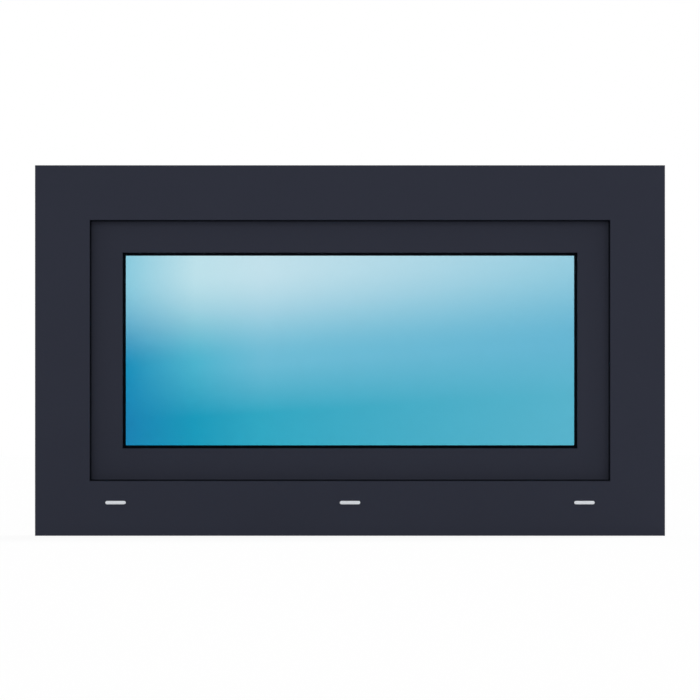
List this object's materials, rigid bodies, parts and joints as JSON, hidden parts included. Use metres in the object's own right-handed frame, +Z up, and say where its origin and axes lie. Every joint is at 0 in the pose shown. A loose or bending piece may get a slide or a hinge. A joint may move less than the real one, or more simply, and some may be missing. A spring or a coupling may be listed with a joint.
{
  "type": "tilt window",
  "caption": "Framed double-glazed window with a bottom-hung sash that tilts inwards on tilt stays and locks with a turn handle and sliding cams.",
  "frame": {"origin": "underside of the sill, at the middle of its length and of the frame's depth", "axes": "+X to the right seen from the weather side, -Y to the weather side, +Y to the room, +Z up"},
  "size_m": [0.85, 0.1412, 0.5],
  "materials": {
    "anthracite_pvc": "white PVC-U, foiled in smooth matt anthracite grey on the weather side",
    "white_pvc": "white PVC-U, satin",
    "galvanised_steel": "galvanised sheet steel",
    "zinc_screws": "bright zinc-plated steel",
    "black_seal": "black EPDM",
    "grey_caps": "pale grey plastic",
    "hardware_steel": "silver zinc-plated steel hardware",
    "cover_white": "white plastic cover",
    "float_glass": "clear float glass with a pale blue cast",
    "spacer_aluminium": "mill-finish aluminium",
    "sealant": "black polysulphide sealant",
    "desiccant": "beige molecular-sieve beads, as one body",
    "block_plastic": "blue plastic packer",
    "die_cast_zinc": "die-cast zinc",
    "handle_white": "white powder-coated aluminium",
    "spindle_steel": "plain steel"
  },
  "bodies": {
    "frame": {"frame_head": "anthracite_pvc", "frame_sill": "anthracite_pvc", "frame_jamb_left": "anthracite_pvc", "frame_jamb_right": "anthracite_pvc", "frame_steel": "galvanised_steel", "frame_steel_screws": "zinc_screws", "frame_seal": "black_seal", "drain_cap_left": "grey_caps", "drain_cap_middle": "grey_caps", "drain_cap_right": "grey_caps", "keep_left": "hardware_steel", "keep_right": "hardware_steel", "hinge_frame_leaf_left": "handle_white", "hinge_frame_leaf_right": "handle_white", "hinge_pins": "hardware_steel", "stay_bracket_left": "hardware_steel", "stay_bracket_right": "hardware_steel", "frame_hardware_screws": "zinc_screws"},
    "sash": {"sash_head": "anthracite_pvc", "sash_sill": "anthracite_pvc", "sash_stile_left": "anthracite_pvc", "sash_stile_right": "anthracite_pvc", "sash_steel": "galvanised_steel", "sash_steel_screws": "zinc_screws", "sash_seal": "black_seal", "outer_glazing_seal": "black_seal", "inner_glazing_seal": "black_seal", "glazing_bead_top": "white_pvc", "glazing_bead_bottom": "white_pvc", "glazing_bead_left": "white_pvc", "glazing_bead_right": "white_pvc", "outer_pane": "float_glass", "inner_pane": "float_glass", "spacer_bar": "spacer_aluminium", "edge_sealant": "sealant", "desiccant": "desiccant", "glazing_bridges": "block_plastic", "setting_blocks": "block_plastic", "gearbox_case": "die_cast_zinc", "faceplate": "hardware_steel", "sash_hardware_screws": "zinc_screws", "hinge_sash_leaf_left": "handle_white", "hinge_sash_leaf_right": "handle_white", "hinge_covers": "cover_white", "stay_track_left": "hardware_steel", "stay_track_right": "hardware_steel", "handle_rosette": "die_cast_zinc", "handle_cover": "cover_white", "handle_screws": "zinc_screws"},
    "handle": {"handle_lever": "handle_white", "handle_spindle": "spindle_steel", "drive_pinion": "die_cast_zinc"},
    "drive_rod": {"drive_rod": "hardware_steel", "locking_cams": "hardware_steel"},
    "stay_left": {"stay_arm_left": "hardware_steel"},
    "stay_right": {"stay_arm_right": "hardware_steel"}
  },
  "joints": [
    {"name": "sash_tilt", "type": "hinge", "parent": "frame", "child": "sash", "pos_m": [0, 0.066, 0.034], "axis": [-1, 0, 0], "range_deg": [0, 15]},
    {"name": "handle_turn", "type": "hinge", "parent": "sash", "child": "handle", "pos_m": [0, 0.059, 0.41857], "axis": [0, 1, 0], "range_deg": [0, 90]},
    {"name": "rod_slide", "type": "slide", "parent": "sash", "child": "drive_rod", "axis": [1, 0, 0], "range_m": [0, 0.0177]},
    {"name": "stay_left_swing", "type": "hinge", "parent": "frame", "child": "stay_left", "pos_m": [-0.37, 0.024, 0.21], "axis": [-1, 0, 0], "range_deg": [0, 38.95]},
    {"name": "stay_right_swing", "type": "hinge", "parent": "frame", "child": "stay_right", "pos_m": [0.37, 0.024, 0.21], "axis": [-1, 0, 0], "range_deg": [0, 38.95]}
  ],
  "couplings": [
    {"joint": "rod_slide", "follows": "handle_turn", "m_per_rad": 0.01125},
    {"joint": "stay_left_swing", "follows": "sash_tilt", "ratio": 2.5891},
    {"joint": "stay_right_swing", "follows": "sash_tilt", "ratio": 2.5891}
  ]
}
